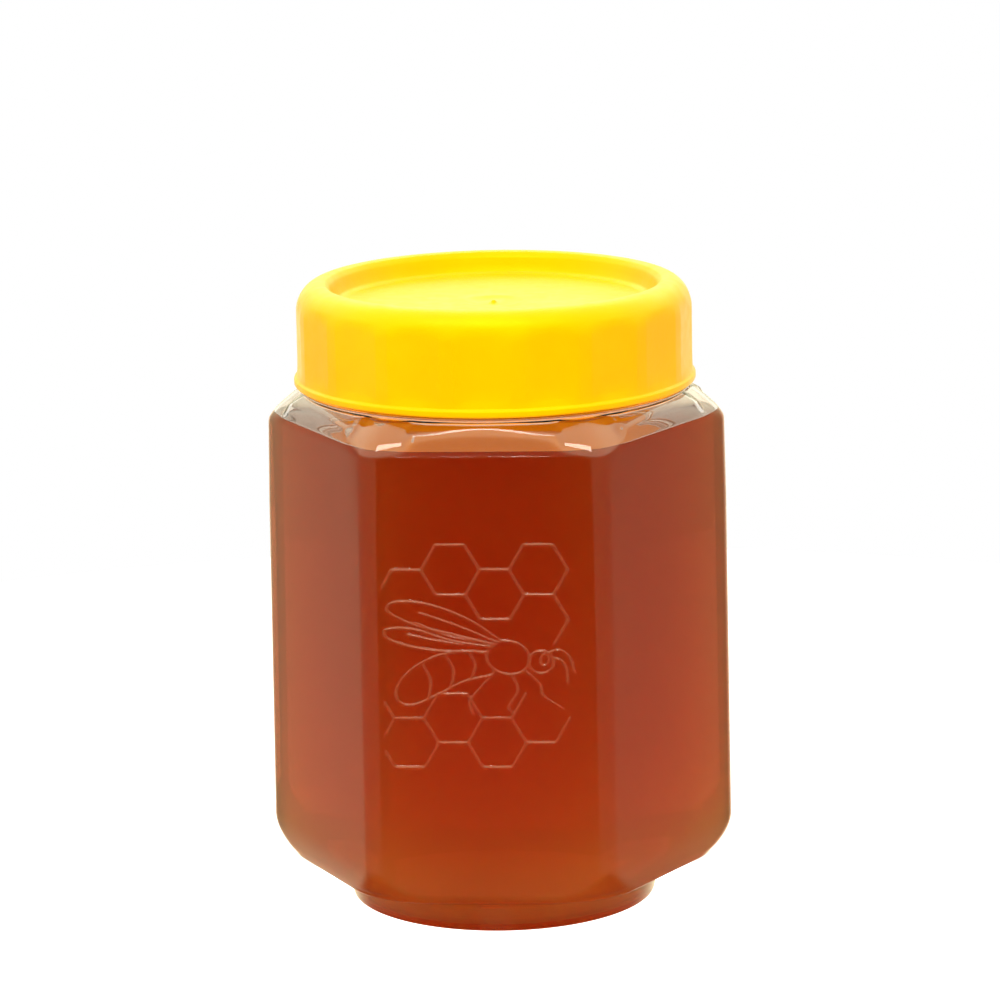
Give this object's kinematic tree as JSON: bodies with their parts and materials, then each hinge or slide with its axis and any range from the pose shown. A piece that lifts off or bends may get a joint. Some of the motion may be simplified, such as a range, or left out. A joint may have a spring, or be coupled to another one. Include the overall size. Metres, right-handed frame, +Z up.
{
  "type": "honey jar",
  "caption": "Clear six-sided plastic jar filled with dark amber honey, with a round foot and a wide screw cap.",
  "frame": {"origin": "middle of the round standing ring, on the ground", "axes": "+Z up along the jar's axis; the panel with the relief faces -Y; two corners lie on the X axis"},
  "size_m": [0.1032, 0.0908, 0.14],
  "materials": {
    "jar": "clear, smooth and glossy",
    "honey": "clear dark amber liquid, glossy",
    "cap": "moulded, semi-gloss yellow"
  },
  "bodies": {
    "root": {"jar": "jar", "honey": "honey", "cap": "cap"}
  },
  "joints": []
}
